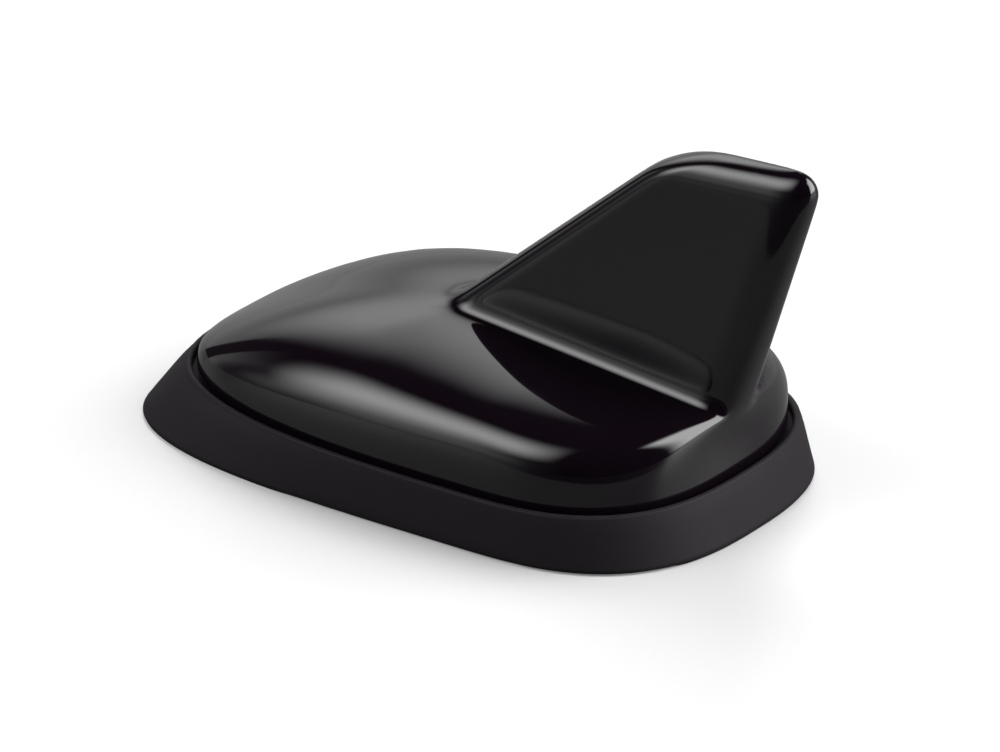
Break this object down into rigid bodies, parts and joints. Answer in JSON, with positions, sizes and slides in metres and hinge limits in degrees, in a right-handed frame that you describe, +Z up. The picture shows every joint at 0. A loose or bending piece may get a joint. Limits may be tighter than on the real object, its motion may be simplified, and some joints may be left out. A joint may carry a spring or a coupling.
{
  "type": "shark fin aerial",
  "caption": "Low oval roof aerial with a glossy black cover that rises into a raked, rounded fin, on a satin black rubber skirt with a fine groove between them.",
  "frame": {"origin": "middle of the skirt's length and width, on the flat underside that meets the roof", "axes": "+X towards the tail, +Y across the roof, +Z up off the roof; the nose points to -X"},
  "size_m": [0.1404, 0.0812, 0.0737],
  "materials": {
    "gloss_cover": "polished black",
    "skirt_rubber": "satin black",
    "base_plastic": "fine matt black",
    "foam": "closed-cell foam",
    "seal_rubber": "matt",
    "board_laminate": "green solder mask",
    "tin_sheet": "tinned, matt",
    "chip_plastic": "moulded",
    "small_parts": "matt",
    "patch_ceramic": "matt",
    "silver": "printed silver",
    "tape": "film tape",
    "frame_plastic": "natural nylon",
    "brass_sheet": "plain",
    "copper_wire": "enamelled copper",
    "screw_steel": "zinc plated",
    "vent_plastic": "white"
  },
  "bodies": {
    "root": {"cover": "gloss_cover", "skirt": "skirt_rubber", "base_plate": "base_plastic", "adhesive_pad": "foam", "seal_ring": "seal_rubber", "main_board": "board_laminate", "shield_can": "tin_sheet", "amplifier_chip": "chip_plastic", "filter_parts": "small_parts", "patch_ceramic": "patch_ceramic", "patch_electrode": "silver", "patch_feed_pin": "brass_sheet", "patch_tape": "tape", "antenna_carrier": "frame_plastic", "radiator": "brass_sheet", "coil_former": "frame_plastic", "loading_coil": "copper_wire", "contact_spring": "brass_sheet", "fin_pad": "foam", "board_screws": "screw_steel", "carrier_screws": "screw_steel", "cover_screws": "screw_steel", "cable_grommet": "seal_rubber", "lead_clamp": "brass_sheet", "vent_plug": "vent_plastic"}
  },
  "joints": []
}
